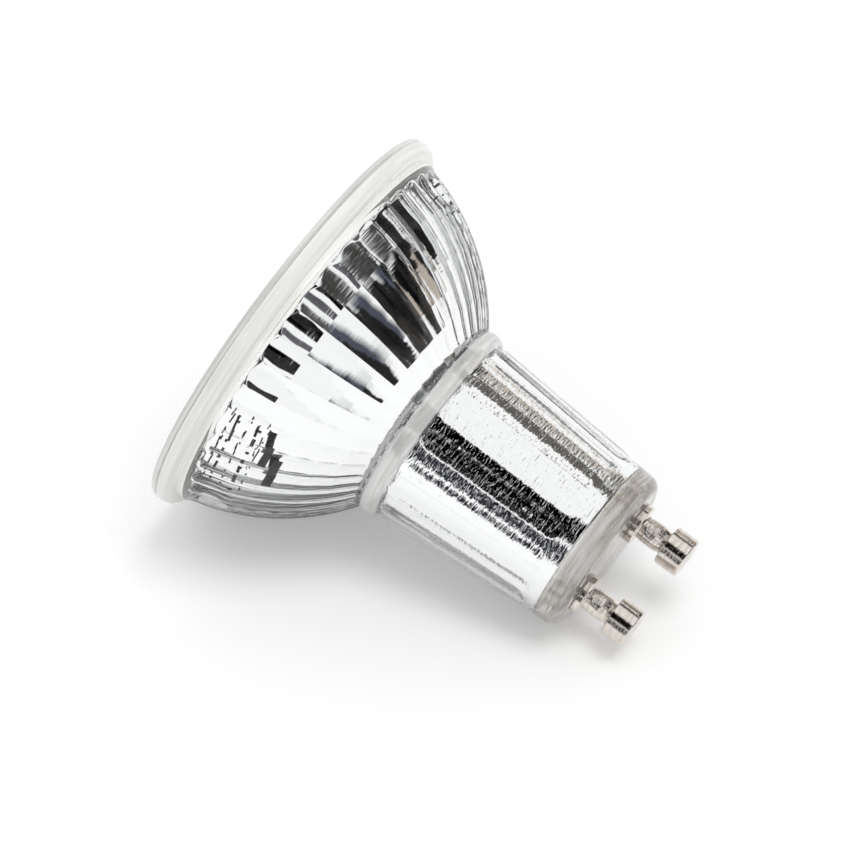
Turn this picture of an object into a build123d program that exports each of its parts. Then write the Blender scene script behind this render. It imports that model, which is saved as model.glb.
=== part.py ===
from build123d import *
import math
import os

# A two-pin twist-lock LED reflector lamp with a pressed glass body, in millimetres.
# The origin is the centre of the front face, +Z runs to the pins, and the pins stand on the X axis.
# Heights are measured from the front face, and each length below is one stretch along +Z.

# Rim
rim_radius = 25.0
rim_height = 1.8
rim_straight = 0.45
rim_chamfer = 0.1
rim_roll = 1.1
band_step = 0.55
band_height = 0.75
land_width = 3.1

# Front lens and its adhesive
lens_edge = 0.85
lens_edge_round = 0.5
lens_step = 0.1
lens_recess = 0.35
lens_border = 2.6
lens_skin = 1.2
lens_skirt_wall = 1.0
lens_skirt_depth = 1.4
lens_clearance = 0.35
adhesive_clearance = 0.05

# Fluted bowl
flute_count = 40
flute_depth = 0.45
bowl_length = 15.75
flute_inset = 0.25
bowl_back_step = 0.3
bowl_curve_radius = 26.3
bowl_wall = 1.75
bowl_spans = 6
arch_run = 1.15
arch_drop = 1.0
facet_rings = 6
first_facet_length = 4.1

# Bead between the bowl and the neck
bead_length = 2.7
bead_height = 0.9
bead_foot_height = 0.15

# Ribbed neck
neck_length = 19.1
neck_front_radius = 11.55
neck_back_radius = 10.25
neck_wall = 1.55
rib_count = 18
rib_phase = 5.0
rib_width = 1.95
rib_height = 0.3
rib_length = 18.2
rib_inset = 0.5

# Base
base_length = 4.7
base_step = 0.1
base_round = 1.55
base_round_length = 1.65
floor_thickness = 2.7

# Contact pins
pin_pitch = 10.0
flange_radius = 2.47
flange_height = 0.85
shaft_radius = 1.4
shaft_length = 3.4
shaft_belly_radius = 1.52
shaft_belly_place = 2.1
shaft_end_radius = 1.3
head_radius = 2.4
head_height = 2.9
head_round = 0.2
dimple_radius = 0.28
dimple_depth = 0.2
crimp_width = 2.1
crimp_height = 2.3
crimp_floor_width = 0.9
crimp_floor_height = 0.8
crimp_depth = 0.62
crimp_start = 0.5
crimp_shift = 0.45
stem_radius = 1.3
stem_clearance = 0.1
collar_radius = 2.0
collar_height = 0.6
pin_bore_radius = 0.55

# Lead wires
lead_radius = 0.4
lead_overlap = 4.0
lead_gap = 0.1

# Heat spreader
seat_inset = 0.6
spreader_clearance = 0.6
spreader_thickness = 1.4
skirt_length = 6.0
skirt_wall = 0.8
skirt_clearance = 0.2
wire_hole_radius = 1.1

# LED board
board_inset = 0.3
board_thickness = 1.0
led_count = 8
led_ring_radius = 6.5
led_length = 3.5
led_width = 2.8
led_height = 0.7
led_rim = 0.35
led_window_depth = 0.15
contact_spacing = 4.0
contact_width = 0.6
contact_hole_radius = 0.6
contact_reach = 1.2
contact_tail = 3.2

# Board screws
screw_edge = 1.7
screw_head_radius = 1.3
screw_head_height = 0.9
screw_radius = 0.8
screw_clearance = 0.15
screw_slot_width = 0.4
screw_slot_depth = 0.35

# Insulating cup
cup_wall = 0.8
cup_clearance = 0.15
cup_gap = 0.4
cup_hole_clearance = 0.3
rail_depth = 0.9
rail_wall = 0.7
rail_clearance = 0.1

# Driver board
driver_thickness = 1.0
driver_front_gap = 1.6
driver_back_gap = 0.3

# Large driver components: middle in X and start in Z from the board's front edge, then their sizes
bulk_x, bulk_start = 1.9, 5.0
bulk_radius, bulk_length, bulk_round = 3.1, 9.5, 0.4
bulk_vent_width, bulk_vent_depth = 0.3, 0.2
film_x, film_start = -3.75, 5.0
film_width, film_length, film_depth, film_round = 4.5, 6.5, 3.2, 0.4
core_start = 5.0
core_width, core_length, core_depth, core_wall = 7.6, 8.0, 4.2, 1.2
core_leg_radius, winding_radius, winding_gap = 1.0, 2.0, 0.05

# Flat driver components, as middle in X and start in Z, then width, length and height off the board
chip_x, chip_start = 0.0, 0.5
chip_width, chip_length, chip_height = 4.0, 3.9, 1.5
bridge_x, bridge_start = -1.8, 14.6
bridge_width, bridge_length, bridge_height = 3.6, 4.7, 1.6
diode_x, diode_start = 3.6, 14.6
diode_width, diode_length, diode_height = 2.6, 4.3, 2.1
output_x, output_start = -3.75, 12.0
output_width, output_length, output_height = 4.4, 3.2, 2.6
terminal_height, terminal_reach, terminal_width = 0.5, 0.6, 0.5

# Fusible resistor, a round body with metal end caps
fuse_start = 16.4
fuse_radius, fuse_length = 1.1, 5.6
fuse_cap_length, fuse_cap_step = 1.1, 0.1

# Radii from the rim inwards and from the neck outwards
rim_back_radius = rim_radius - rim_roll
band_radius = rim_back_radius - band_step
bowl_front_radius = band_radius - flute_inset
mouth_radius = rim_radius - land_width
lens_recess_radius = rim_radius - lens_border
bead_foot_radius = neck_front_radius + bead_foot_height
bead_radius = neck_front_radius + bead_height
bowl_back_radius = bead_radius + bowl_back_step
base_radius = neck_back_radius - base_step
base_face_radius = base_radius - base_round

# Stations along the axis
rim_top = lens_edge + rim_height
bowl_front = rim_top + band_height
bowl_back = bowl_front + bowl_length
bead_top = bowl_back + bead_length
neck_top = bead_top + neck_length
base_top = neck_top + base_length
floor_face = base_top - floor_thickness
flange_top = base_top + flange_height
shaft_top = flange_top + shaft_length
pin_top = shaft_top + head_height
pin_places = {"right": pin_pitch / 2, "left": -pin_pitch / 2}

# Bore of the neck, tapered like the neck outside it
bore_front = neck_front_radius - neck_wall
bore_taper = (neck_front_radius - neck_back_radius) / neck_length

# Seats of the inner pieces
lens_skirt_radius = mouth_radius - lens_clearance
spreader_seat = bowl_back - seat_inset
spreader_front = spreader_seat - spreader_thickness
board_front = spreader_front - board_thickness
skirt_end = spreader_seat + skirt_length
cup_front = skirt_end + cup_gap
cup_back = floor_face - collar_height
cup_floor = cup_back - cup_wall
driver_front = spreader_seat + driver_front_gap
driver_back = cup_floor - driver_back_gap
driver_face = lead_radius + lead_gap
driver_rear = driver_face + driver_thickness
contact_y = driver_face - contact_width / 2
contact_places = {"positive": contact_spacing / 2, "negative": -contact_spacing / 2}


def polar(radius, angle, height):
    return Vector(radius * math.cos(math.radians(angle)), radius * math.sin(math.radians(angle)), height)


# A body of revolution about Z from lines and arcs drawn as (radius, height)
def turned(*lines):
    edges = [edge for line in lines for edge in line.edges()]
    return revolve(Plane.XZ * make_face(edges), axis=Axis.Z)


def frustum(front_radius, back_radius, start, end):
    return turned(Polyline((0, start), (front_radius, start), (back_radius, end), (0, end), close=True))


# A ring of one wall thickness whose outside may taper
def tube(front_radius, back_radius, wall, start, end):
    return turned(
        Polyline(
            (front_radius - wall, start), (front_radius, start), (back_radius, end), (back_radius - wall, end),
            close=True,
        )
    )


def disc(radius, start, end, x=0.0, y=0.0):
    return Pos(x, y, start) * extrude(Circle(radius), end - start)


# A block given by its middle in X, its near and far faces in Y and its ends in Z
def block(x, width, near, far, start, end):
    return Pos(x, (near + far) / 2, (start + end) / 2) * Box(width, abs(far - near), end - start)


def bore_radius(height):
    return bore_front - bore_taper * (height - bead_top)


# The bowl bulges along one arc that passes through its front and back edges
def bowl_radius(height):
    rise, drop = bowl_length, bowl_front_radius - bowl_back_radius
    chord = math.hypot(rise, drop)
    offset = math.sqrt(bowl_curve_radius**2 - chord**2 / 4)
    middle_height = bowl_front + rise / 2
    middle_radius = (bowl_front_radius + bowl_back_radius) / 2
    centre_height = middle_height - offset * drop / chord
    centre_radius = middle_radius - offset * rise / chord
    return centre_radius + math.sqrt(bowl_curve_radius**2 - (height - centre_height) ** 2)


# One closed ring of convex flutes, shallower where the bowl narrows
def flute_ring(height):
    crest = bowl_radius(height)
    valley = crest - flute_depth * crest / bowl_front_radius
    half_pitch = 180 / flute_count
    arcs = []
    for index in range(flute_count):
        angle = 2 * half_pitch * index
        arcs.append(
            Edge.make_three_point_arc(
                polar(valley, angle - half_pitch, height),
                polar(crest, angle, height),
                polar(valley, angle + half_pitch, height),
            )
        )
    return Wire(arcs)


# The flutes run from under the rim into the bead
def fluted_bowl():
    start, end = rim_top, bowl_back + bead_length / 4
    heights = [start + (end - start) * index / bowl_spans for index in range(bowl_spans + 1)]
    return Solid.make_loft([flute_ring(height) for height in heights])


# A ring of corners on the mirror surface inside the bowl, in line with the flutes
def facet_ring(height):
    half_pitch = 180 / flute_count
    corners = [
        polar(bowl_radius(height) - bowl_wall, half_pitch * (2 * index + 1), height)
        for index in range(flute_count)
    ]
    return Wire.make_polygon(corners, close=True)


# The hollow of the bowl: rings of flat facets, the first one longer than the rest
def facet_cavity():
    start = bowl_front + first_facet_length
    pitch = (spreader_seat - start) / (facet_rings - 1)
    heights = [bowl_front] + [start + pitch * index for index in range(facet_rings)]
    return Solid.make_loft([facet_ring(height) for height in heights], ruled=True)


# The rolled rim, the short band behind it and the slope that the flutes' arched ends rise from
def rim():
    blank = mouth_radius - bowl_wall
    straight_end = lens_edge + rim_straight
    return turned(
        Polyline(
            (blank, lens_edge), (rim_radius - rim_chamfer, lens_edge), (rim_radius, lens_edge + rim_chamfer),
            (rim_radius, straight_end),
        ),
        TangentArc((rim_radius, straight_end), (rim_back_radius, rim_top), tangent=(0, 1)),
        Polyline(
            (rim_back_radius, rim_top), (band_radius, rim_top), (band_radius, bowl_front),
            (band_radius - arch_drop, bowl_front + arch_run), (blank, bowl_front + arch_run),
            (blank, lens_edge),
        ),
    )


def bead():
    return turned(
        ThreePointArc(
            (bead_foot_radius, bowl_back), (bead_radius, bowl_back + bead_length / 2),
            (bead_foot_radius, bead_top),
        ),
        Polyline((bead_foot_radius, bead_top), (0, bead_top), (0, bowl_back), (bead_foot_radius, bowl_back)),
    )


# The tapered neck, with long round-ended pads raised all round it
def neck():
    pad = Rot(0, 90, 0) * SlotOverall(rib_length, rib_width)
    bar = Pos(0, 0, bead_top + rib_inset + rib_length / 2) * extrude(pad, 2 * neck_front_radius, dir=(1, 0, 0))
    bars = [Rot(0, 0, rib_phase + 360 * index / rib_count) * bar for index in range(rib_count)]
    front, back = neck_front_radius + rib_height, neck_back_radius + rib_height
    shell = tube(front, back, neck_wall, bead_top, neck_top)
    return frustum(neck_front_radius, neck_back_radius, bead_top, neck_top) + [bar & shell for bar in bars]


def base():
    round_start = base_top - base_round_length
    return turned(
        Polyline((0, neck_top), (neck_back_radius, neck_top), (base_radius, round_start)),
        TangentArc((base_radius, round_start), (base_face_radius, base_top), tangent=(0, 1)),
        Polyline((base_face_radius, base_top), (0, base_top), (0, neck_top)),
    )


# One pressed and blown piece, hollow from the lens seat to the floor that carries the pins
def glass_body():
    body = rim() + fluted_bowl() + bead() + neck() + base()
    body -= disc(mouth_radius, lens_edge, bowl_front)
    body -= facet_cavity()
    body -= frustum(bore_radius(spreader_seat), bore_radius(floor_face), spreader_seat, floor_face)
    for x in pin_places.values():
        body -= disc(stem_radius + stem_clearance, floor_face, base_top, x)
    return body


# A clear cover with a raised edge to stand on and a skirt that centres it in the glass
def front_lens():
    outer = rim_radius - lens_step
    inner = lens_skirt_radius - lens_skirt_wall
    return turned(
        Polyline((lens_recess_radius, 0), (outer - lens_edge_round, 0)),
        TangentArc((outer - lens_edge_round, 0), (outer, lens_edge_round), tangent=(1, 0)),
        Polyline(
            (outer, lens_edge_round), (outer, lens_edge), (lens_skirt_radius, lens_edge),
            (lens_skirt_radius, lens_edge + lens_skirt_depth), (inner, lens_edge + lens_skirt_depth),
            (inner, lens_recess + lens_skin), (0, lens_recess + lens_skin), (0, lens_recess),
            (lens_recess_radius - lens_recess, lens_recess), (lens_recess_radius, 0),
        ),
    )


def lens_adhesive():
    outer = mouth_radius - adhesive_clearance
    wall = lens_clearance - 2 * adhesive_clearance
    return tube(outer, outer, wall, lens_edge, lens_edge + lens_skirt_depth)


# A mushroom-headed contact, riveted through the glass floor and crimped on its lead
def contact_pin(x):
    belly = flange_top + shaft_belly_place
    pin = turned(
        Polyline(
            (0, cup_back), (collar_radius, cup_back), (collar_radius, floor_face), (stem_radius, floor_face),
            (stem_radius, base_top), (flange_radius, base_top), (flange_radius, flange_top),
            (shaft_radius, flange_top),
        ),
        ThreePointArc((shaft_radius, flange_top), (shaft_belly_radius, belly), (shaft_end_radius, shaft_top)),
        Polyline(
            (shaft_end_radius, shaft_top), (head_radius, shaft_top), (head_radius, pin_top - head_round),
            (head_radius - head_round, pin_top), (dimple_radius, pin_top), (0, pin_top - dimple_depth),
            (0, cup_back),
        ),
    )
    pin -= disc(pin_bore_radius, cup_back, shaft_top)
    pin -= [crimp_dent(side) for side in (1, -1)]
    return Pos(x, 0, 0) * pin


# One squeezed dent: an arched window at the shaft's surface that slopes to a small flat floor
def crimp_dent(side):
    middle = flange_top + crimp_start + crimp_height / 2
    surface = 2 * shaft_belly_radius - shaft_end_radius
    floor = shaft_belly_radius - crimp_depth
    window = Plane((0, side * surface, middle), x_dir=(1, 0, 0), z_dir=(0, side, 0))
    flat = Plane((0, side * floor, middle + crimp_shift), x_dir=(1, 0, 0), z_dir=(0, side, 0))
    return loft(
        [flat * Rectangle(crimp_floor_width, crimp_floor_height), window * Rectangle(crimp_width, crimp_height)]
    )


def lead_wire(x):
    return disc(lead_radius, driver_back - lead_overlap, shaft_top - lead_gap, x)


# The flat part of the facets leaves this much room for the round plates at the bowl's end
def plate_radius():
    corner = bowl_radius(spreader_seat) - bowl_wall
    return corner * math.cos(math.pi / flute_count) - spreader_clearance


def screw_places():
    place = plate_radius() - board_inset - screw_edge
    return (place, -place)


# A round plate with holes for the two contacts and the two screws
def drilled_plate(radius, start, end, contact_hole):
    plate = disc(radius, start, end)
    for x in contact_places.values():
        plate -= disc(contact_hole, start, end, x, contact_y)
    for x in screw_places():
        plate -= disc(screw_radius + screw_clearance, start, end, x)
    return plate


# A turned aluminium plate with a skirt that fits the neck
def heat_spreader():
    front = bore_radius(spreader_seat) - skirt_clearance
    back = bore_radius(skirt_end) - skirt_clearance
    skirt = tube(front, back, skirt_wall, spreader_seat, skirt_end)
    return drilled_plate(plate_radius(), spreader_front, spreader_seat, wire_hole_radius) + skirt


def led_board():
    return drilled_plate(plate_radius() - board_inset, board_front, spreader_front, contact_hole_radius)


def leds():
    package = Pos(led_ring_radius, 0, board_front - led_height / 2) * Box(led_length, led_width, led_height)
    window = Pos(led_ring_radius, 0, board_front - led_height) * Box(
        led_length - 2 * led_rim, led_width - 2 * led_rim, 2 * led_window_depth
    )
    packages = []
    for index in range(led_count):
        packages.append(Rot(0, 0, 360 * (index + 0.5) / led_count) * (package - window))
    return Compound(children=packages)


def board_screws():
    screws = []
    for x in screw_places():
        head = disc(screw_head_radius, board_front - screw_head_height, board_front, x)
        slot = block(
            x, 2 * screw_head_radius, -screw_slot_width / 2, screw_slot_width / 2,
            board_front - screw_head_height, board_front - screw_head_height + screw_slot_depth,
        )
        screws.append(head - slot + disc(screw_radius, board_front, spreader_seat, x))
    return Compound(children=screws)


# A plastic cup that stands on the pins' collars, with two pairs of rails for the driver board's edges
def insulating_cup():
    front = bore_radius(cup_front) - cup_clearance
    back = bore_radius(cup_back) - cup_clearance
    cup = tube(front, back, cup_wall, cup_front, cup_back)
    filled = frustum(front - cup_wall / 2, back - cup_wall / 2, cup_front, cup_back)
    cup += filled & disc(front, cup_floor, cup_back)
    for side in (1, -1):
        for edge, turn in ((driver_face, -1), (driver_rear, 1)):
            near = edge + turn * rail_clearance
            inner = driver_width() / 2 - rail_depth
            rail = block(
                side * (inner + front) / 2, front - inner, near, near + turn * rail_wall, cup_front, cup_floor
            )
            cup += rail & filled
    for x in pin_places.values():
        cup -= disc(lead_radius + cup_hole_clearance, cup_floor, cup_back, x)
    return cup


# The board is as wide as the narrow end of the cup lets it be
def driver_width():
    inner = bore_radius(cup_back) - cup_clearance - cup_wall
    return 2 * (math.sqrt(inner**2 - driver_rear**2) - rail_clearance)


def driver_board():
    return block(0, driver_width(), driver_face, driver_rear, driver_front, driver_back)


# Straight square contacts that carry the driver's output through to the LED board
def board_contact(x):
    return block(
        x, contact_width, driver_face - contact_width, driver_face,
        board_front - contact_reach, driver_front + contact_tail,
    )


def bulk_capacitor():
    start = driver_front + bulk_start
    can = disc(bulk_radius, start, start + bulk_length, bulk_x, driver_face - bulk_radius)
    top = can.edges().group_by(Axis.Z)[-1]
    return fillet(top, bulk_round) - block(
        bulk_x, bulk_vent_width, driver_face - 1.5 * bulk_radius, driver_face - 0.5 * bulk_radius,
        start + bulk_length - bulk_vent_depth, start + bulk_length,
    )


# A rectangular component that sits flat on the near face or the far face of the driver board
def component(x, width, start, length, height, far=False):
    face, top = (driver_rear, driver_rear + height) if far else (driver_face, driver_face - height)
    return block(x, width, face, top, driver_front + start, driver_front + start + length)


# Flat metal terminals along the two sides of a component that face X
def terminals(x, width, start, length, count, far=True):
    legs = []
    pitch = length / count
    for side in (1, -1):
        for index in range(count):
            middle = start + pitch * (index + 0.5)
            legs.append(
                component(
                    x + side * (width + terminal_reach) / 2, terminal_reach, middle - terminal_width / 2,
                    terminal_width, terminal_height, far,
                )
            )
    return legs


def film_capacitor():
    body = component(film_x, film_width, film_start, film_length, film_depth)
    return fillet(body.faces().sort_by(Axis.Y)[0].edges(), film_round)


# A ferrite frame with a round middle leg
def inductor_core():
    start = driver_front + core_start
    frame = component(0, core_width, core_start, core_length, core_depth, far=True)
    window = component(
        0, core_width - 2 * core_wall, core_start + core_wall, core_length - 2 * core_wall, core_depth, far=True
    )
    leg = disc(core_leg_radius, start, start + core_length, 0, driver_rear + core_depth / 2)
    return frame - window + leg


def inductor_winding():
    middle = driver_rear + core_depth / 2
    start = driver_front + core_start + core_wall
    end = start + core_length - 2 * core_wall
    inner = core_leg_radius + winding_gap
    coil = disc(winding_radius, start, end, 0, middle) - disc(inner, start, end, 0, middle)
    return coil


def driver_chip():
    body = component(chip_x, chip_width, chip_start, chip_length, chip_height, far=True)
    return body + terminals(chip_x, chip_width, chip_start, chip_length, 4)


def bridge_rectifier():
    body = component(bridge_x, bridge_width, bridge_start, bridge_length, bridge_height, far=True)
    return body + terminals(bridge_x, bridge_width, bridge_start, bridge_length, 2)


def output_diode():
    return component(diode_x, diode_width, diode_start, diode_length, diode_height, far=True)


def output_capacitor():
    return component(output_x, output_width, output_start, output_length, output_height)


def fuse_resistor():
    middle = driver_face - fuse_radius - fuse_cap_step
    cap = Rot(0, 90, 0) * Cylinder(fuse_radius + fuse_cap_step, fuse_cap_length)
    reach = (fuse_length - fuse_cap_length) / 2
    body = Rot(0, 90, 0) * Cylinder(fuse_radius, fuse_length)
    return Pos(0, middle, driver_front + fuse_start) * (body + [Pos(reach, 0, 0) * cap, Pos(-reach, 0, 0) * cap])


pieces = {
    "glass_body": glass_body(),
    "front_lens": front_lens(),
    "lens_adhesive": lens_adhesive(),
    "heat_spreader": heat_spreader(),
    "led_board": led_board(),
    "leds": leds(),
    "board_screws": board_screws(),
    "insulating_cup": insulating_cup(),
    "driver_board": driver_board(),
    "bulk_capacitor": bulk_capacitor(),
    "film_capacitor": film_capacitor(),
    "inductor_core": inductor_core(),
    "inductor_winding": inductor_winding(),
    "driver_chip": driver_chip(),
    "bridge_rectifier": bridge_rectifier(),
    "output_diode": output_diode(),
    "output_capacitor": output_capacitor(),
    "fuse_resistor": fuse_resistor(),
}
for side, x in pin_places.items():
    pieces[f"{side}_pin"] = contact_pin(x)
    pieces[f"{side}_lead"] = lead_wire(x)
for pole, x in contact_places.items():
    pieces[f"{pole}_contact"] = board_contact(x)
os.makedirs("parts", exist_ok=True)
for name, shape in pieces.items():
    export_step(shape, f"parts/{name}.step")
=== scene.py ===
import math
import bpy
import numpy as np
from mathutils import Matrix, Vector


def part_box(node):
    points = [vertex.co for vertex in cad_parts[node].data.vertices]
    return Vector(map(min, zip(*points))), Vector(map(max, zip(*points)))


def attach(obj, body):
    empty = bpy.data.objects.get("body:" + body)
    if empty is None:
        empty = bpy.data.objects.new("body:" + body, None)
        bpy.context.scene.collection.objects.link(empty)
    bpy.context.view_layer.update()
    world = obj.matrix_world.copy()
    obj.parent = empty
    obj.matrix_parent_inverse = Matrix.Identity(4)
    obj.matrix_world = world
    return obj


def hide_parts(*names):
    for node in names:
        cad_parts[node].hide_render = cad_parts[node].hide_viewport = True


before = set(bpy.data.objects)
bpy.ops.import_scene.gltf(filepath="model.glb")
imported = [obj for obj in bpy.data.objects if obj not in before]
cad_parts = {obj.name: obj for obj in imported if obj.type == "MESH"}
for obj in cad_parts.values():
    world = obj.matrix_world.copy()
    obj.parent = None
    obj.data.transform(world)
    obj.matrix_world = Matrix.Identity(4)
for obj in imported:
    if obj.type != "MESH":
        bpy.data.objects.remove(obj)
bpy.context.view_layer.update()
mm = 0.001
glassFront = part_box("glass_body")[0].z / mm
print("stage: frame loaded")


# Small helpers for shader trees

def addNode(tree, kind, place=(0, 0), **settings):
    made = tree.nodes.new(kind)
    made.location = place
    for name, value in settings.items():
        setattr(made, name, value)
    return made


def newMaterial(name):
    material = bpy.data.materials.new(name)
    material.use_nodes = True
    tree = material.node_tree
    shader = tree.nodes["Principled BSDF"]
    return material, tree, shader


# Socket names of two words are written as one, such as secondTone for Second Tone
def useGroup(tree, group, place, **values):
    made = addNode(tree, "ShaderNodeGroup", place, node_tree=group)
    sockets = {socket.name.replace(" ", "").lower(): socket for socket in made.inputs}
    for name, value in values.items():
        sockets[name.lower()].default_value = value
    return made


def newGroup(name, sockets):
    group = bpy.data.node_groups.new(name, "ShaderNodeTree")
    for label, way, kind, value in sockets:
        socket = group.interface.new_socket(label, in_out=way, socket_type=kind)
        if value is not None:
            socket.default_value = value
    start = addNode(group, "NodeGroupInput", (-800, 0))
    end = addNode(group, "NodeGroupOutput", (600, 0))
    return group, start, end


# A Mix node keeps one set of sockets for each kind of data
def mixInput(mix, label):
    return next(socket for socket in mix.inputs if socket.name == label and socket.enabled)


def mixResult(mix):
    return next(socket for socket in mix.outputs if socket.enabled)


# Waves and grain stretched round the lamp's axis or along it, as a normal
def makeSurfaceGrain():
    group, start, end = newGroup("surfaceGrain", [
        ("Round", "INPUT", "NodeSocketFloat", 400.0),
        ("Along", "INPUT", "NodeSocketFloat", 400.0),
        ("Detail", "INPUT", "NodeSocketFloat", 3.0),
        ("Height", "INPUT", "NodeSocketFloat", 0.0001),
        ("Normal", "INPUT", "NodeSocketVector", None),
        ("Normal", "OUTPUT", "NodeSocketVector", None),
        ("Mask", "OUTPUT", "NodeSocketFloat", None),
    ])
    coords = addNode(group, "ShaderNodeTexCoord", (-800, 300))
    scale = addNode(group, "ShaderNodeCombineXYZ", (-600, 0))
    stretch = addNode(group, "ShaderNodeVectorMath", (-400, 200), operation="MULTIPLY")
    noise = addNode(group, "ShaderNodeTexNoise", (-200, 100))
    bump = addNode(group, "ShaderNodeBump", (200, 0))
    noise.inputs["Scale"].default_value = 1.0
    bump.inputs["Strength"].default_value = 1.0
    for axis in "XY":
        group.links.new(start.outputs["Round"], scale.inputs[axis])
    group.links.new(start.outputs["Along"], scale.inputs["Z"])
    group.links.new(coords.outputs["Object"], stretch.inputs[0])
    group.links.new(scale.outputs[0], stretch.inputs[1])
    group.links.new(stretch.outputs[0], noise.inputs["Vector"])
    group.links.new(start.outputs["Detail"], noise.inputs["Detail"])
    group.links.new(noise.outputs["Fac"], bump.inputs["Height"])
    group.links.new(start.outputs["Height"], bump.inputs["Distance"])
    group.links.new(start.outputs["Normal"], bump.inputs["Normal"])
    group.links.new(bump.outputs["Normal"], end.inputs["Normal"])
    group.links.new(noise.outputs["Fac"], end.inputs["Mask"])
    return group


surfaceGrain = makeSurfaceGrain()


# White between two heights of the lamp in metres, black elsewhere
def makeHeightBand():
    group, start, end = newGroup("heightBand", [
        ("Low", "INPUT", "NodeSocketFloat", 0.0),
        ("High", "INPUT", "NodeSocketFloat", 0.01),
        ("Soft Edge", "INPUT", "NodeSocketFloat", 0.0003),
        ("Mask", "OUTPUT", "NodeSocketFloat", None),
    ])
    coords = addNode(group, "ShaderNodeTexCoord", (-800, 300))
    split = addNode(group, "ShaderNodeSeparateXYZ", (-600, 300))
    group.links.new(coords.outputs["Object"], split.inputs[0])
    steps = []
    for place, first, second in ((200, split.outputs["Z"], start.outputs["Low"]),
                                 (0, start.outputs["High"], split.outputs["Z"])):
        apart = addNode(group, "ShaderNodeMath", (-400, place), operation="SUBTRACT")
        share = addNode(group, "ShaderNodeMath", (-200, place), operation="DIVIDE", use_clamp=True)
        group.links.new(first, apart.inputs[0])
        group.links.new(second, apart.inputs[1])
        group.links.new(apart.outputs[0], share.inputs[0])
        group.links.new(start.outputs["Soft Edge"], share.inputs[1])
        steps.append(share)
    both = addNode(group, "ShaderNodeMath", (100, 100), operation="MULTIPLY")
    group.links.new(steps[0].outputs[0], both.inputs[0])
    group.links.new(steps[1].outputs[0], both.inputs[1])
    group.links.new(both.outputs[0], end.inputs["Mask"])
    return group


heightBand = makeHeightBand()


# Two tones of one finish, with grain in its colour, roughness and relief
def makeMottledFinish():
    group, start, end = newGroup("mottledFinish", [
        ("Tone", "INPUT", "NodeSocketColor", (0.8, 0.8, 0.8, 1)),
        ("Second Tone", "INPUT", "NodeSocketColor", (0.6, 0.6, 0.6, 1)),
        ("Round", "INPUT", "NodeSocketFloat", 900.0),
        ("Along", "INPUT", "NodeSocketFloat", 900.0),
        ("Smooth", "INPUT", "NodeSocketFloat", 0.3),
        ("Rough", "INPUT", "NodeSocketFloat", 0.5),
        ("Height", "INPUT", "NodeSocketFloat", 0.00002),
        ("Color", "OUTPUT", "NodeSocketColor", None),
        ("Roughness", "OUTPUT", "NodeSocketFloat", None),
        ("Normal", "OUTPUT", "NodeSocketVector", None),
    ])
    grain = addNode(group, "ShaderNodeGroup", (-500, 0), node_tree=surfaceGrain)
    ramp = addNode(group, "ShaderNodeMapRange", (-250, 200))
    ramp.inputs["From Min"].default_value = 0.35
    ramp.inputs["From Max"].default_value = 0.65
    tones = addNode(group, "ShaderNodeMix", (0, 300), data_type="RGBA")
    gloss = addNode(group, "ShaderNodeMix", (0, 0), data_type="FLOAT")
    for name in ("Round", "Along", "Height"):
        group.links.new(start.outputs[name], grain.inputs[name])
    group.links.new(grain.outputs["Mask"], ramp.inputs["Value"])
    for mix, first, second in ((tones, "Tone", "Second Tone"), (gloss, "Smooth", "Rough")):
        group.links.new(ramp.outputs["Result"], mix.inputs[0])
        group.links.new(start.outputs[first], mixInput(mix, "A"))
        group.links.new(start.outputs[second], mixInput(mix, "B"))
    group.links.new(mixResult(tones), end.inputs["Color"])
    group.links.new(mixResult(gloss), end.inputs["Roughness"])
    group.links.new(grain.outputs["Normal"], end.inputs["Normal"])
    return group


mottledFinish = makeMottledFinish()


def makeFinish(name, metallic=0.0, **values):
    material, tree, shader = newMaterial(name)
    shader.inputs["Metallic"].default_value = metallic
    finish = useGroup(tree, mottledFinish, (-400, 0), **values)
    tree.links.new(finish.outputs["Color"], shader.inputs["Base Color"])
    tree.links.new(finish.outputs["Roughness"], shader.inputs["Roughness"])
    tree.links.new(finish.outputs["Normal"], shader.inputs["Normal"])
    return material, tree, shader, finish


# A second tone between two heights of a finish
def addBand(tree, shader, finish, tone, low, high, softEdge=0.00005):
    band = useGroup(tree, heightBand, (-400, 400), low=low, high=high, softEdge=softEdge)
    mix = addNode(tree, "ShaderNodeMix", (-150, 300), data_type="RGBA")
    mixInput(mix, "B").default_value = tone
    tree.links.new(band.outputs["Mask"], mix.inputs[0])
    tree.links.new(finish.outputs["Color"], mixInput(mix, "A"))
    tree.links.new(mixResult(mix), shader.inputs["Base Color"])


# Sharp edges round some rings and, between the first and last of them, down some columns
def markCreases(mesh, columns, creaseRows, creaseColumns):
    ends = np.empty(len(mesh.edges) * 2, dtype=np.int64)
    sharp = np.empty(len(mesh.edges), dtype=bool)
    mesh.edges.foreach_get("vertices", ends)
    mesh.edges.foreach_get("use_edge_sharp", sharp)
    rows, places = np.divmod(ends.reshape(-1, 2) - 1, columns)
    level = (rows[:, 0] == rows[:, 1]) & np.isin(rows[:, 0], creaseRows)
    between = (rows.min(axis=1) >= min(creaseRows)) & (rows.max(axis=1) <= max(creaseRows))
    upright = (places[:, 0] == places[:, 1]) & np.isin(places[:, 0], creaseColumns) & between
    mesh.edges.foreach_set("use_edge_sharp", sharp | level | upright)


def columnAngles(count):
    return np.arange(count) * 2 * math.pi / count


def spread(start, end, count, openEnd=False):
    steps = count if openEnd else count - 1
    return [start + (end - start) * index / steps for index in range(count)]


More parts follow.
